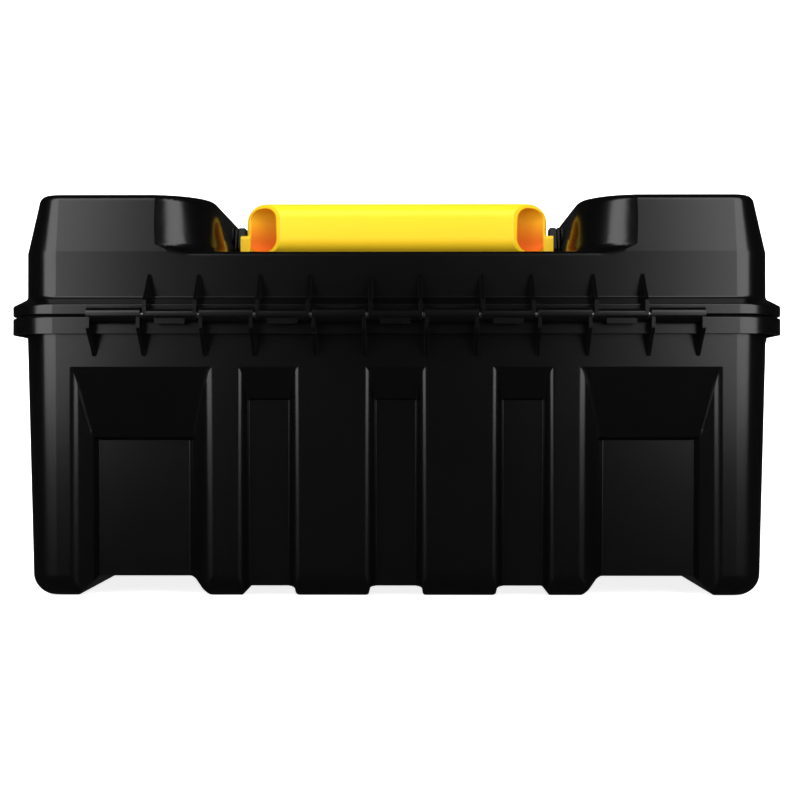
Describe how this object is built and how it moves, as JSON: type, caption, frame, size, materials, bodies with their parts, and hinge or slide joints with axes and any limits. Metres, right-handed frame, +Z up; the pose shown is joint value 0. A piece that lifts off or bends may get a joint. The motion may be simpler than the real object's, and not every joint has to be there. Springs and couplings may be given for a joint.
{
  "type": "battery box",
  "caption": "Lidded battery box with channelled walls, a hinge along the back, raised lid ends, a folding carry handle between them and snap latches at the front.",
  "frame": {"origin": "middle of the footprint, on the plane of the feet", "axes": "X along the width, +Y towards the hinge side, -Y the latch side, +Z up"},
  "size_m": [0.487, 0.269, 0.254],
  "materials": {
    "case_plastic": "black polypropylene, fine moulded grain, soft sheen",
    "bracket_plastic": "black glass-filled nylon",
    "yellow_plastic": "yellow polypropylene, satin",
    "bright_steel": "drawn rod",
    "zinc_steel": "zinc plated",
    "seal_rubber": "black rubber",
    "nylon": "black nylon, slightly glossy"
  },
  "bodies": {
    "base": {"base_shell": "case_plastic", "hinge_rod": "bright_steel", "rim_seal": "seal_rubber", "battery_tray": "case_plastic", "battery_mat": "seal_rubber", "gland_washers": "seal_rubber", "gland_bodies": "nylon", "gland_caps": "nylon", "gland_inserts": "seal_rubber", "gland_nuts": "nylon", "vent_plug": "nylon"},
    "lid": {"lid_shell": "case_plastic", "bracket_left": "bracket_plastic", "bracket_right": "bracket_plastic", "bracket_screws": "zinc_steel", "bracket_nuts": "zinc_steel", "handle_pins": "bright_steel", "latch_pins": "bright_steel"},
    "handle": {"carry_handle": "yellow_plastic"},
    "latch_left": {"latch_left": "yellow_plastic"},
    "latch_right": {"latch_right": "yellow_plastic"}
  },
  "joints": [
    {"name": "lid_hinge", "type": "hinge", "parent": "base", "child": "lid", "pos_m": [0, 0.1295, 0.1751], "axis": [-1, 0, 0], "range_deg": [0, 105]},
    {"name": "handle_fold", "type": "hinge", "parent": "lid", "child": "handle", "pos_m": [0, 0.005, 0.228], "axis": [1, 0, 0], "range_deg": [0, 90]},
    {"name": "latch_left_swing", "type": "hinge", "parent": "lid", "child": "latch_left", "pos_m": [0.138, -0.127, 0.199], "axis": [-1, 0, 0], "range_deg": [0, 110]},
    {"name": "latch_right_swing", "type": "hinge", "parent": "lid", "child": "latch_right", "pos_m": [-0.138, -0.127, 0.199], "axis": [-1, 0, 0], "range_deg": [0, 110]}
  ]
}
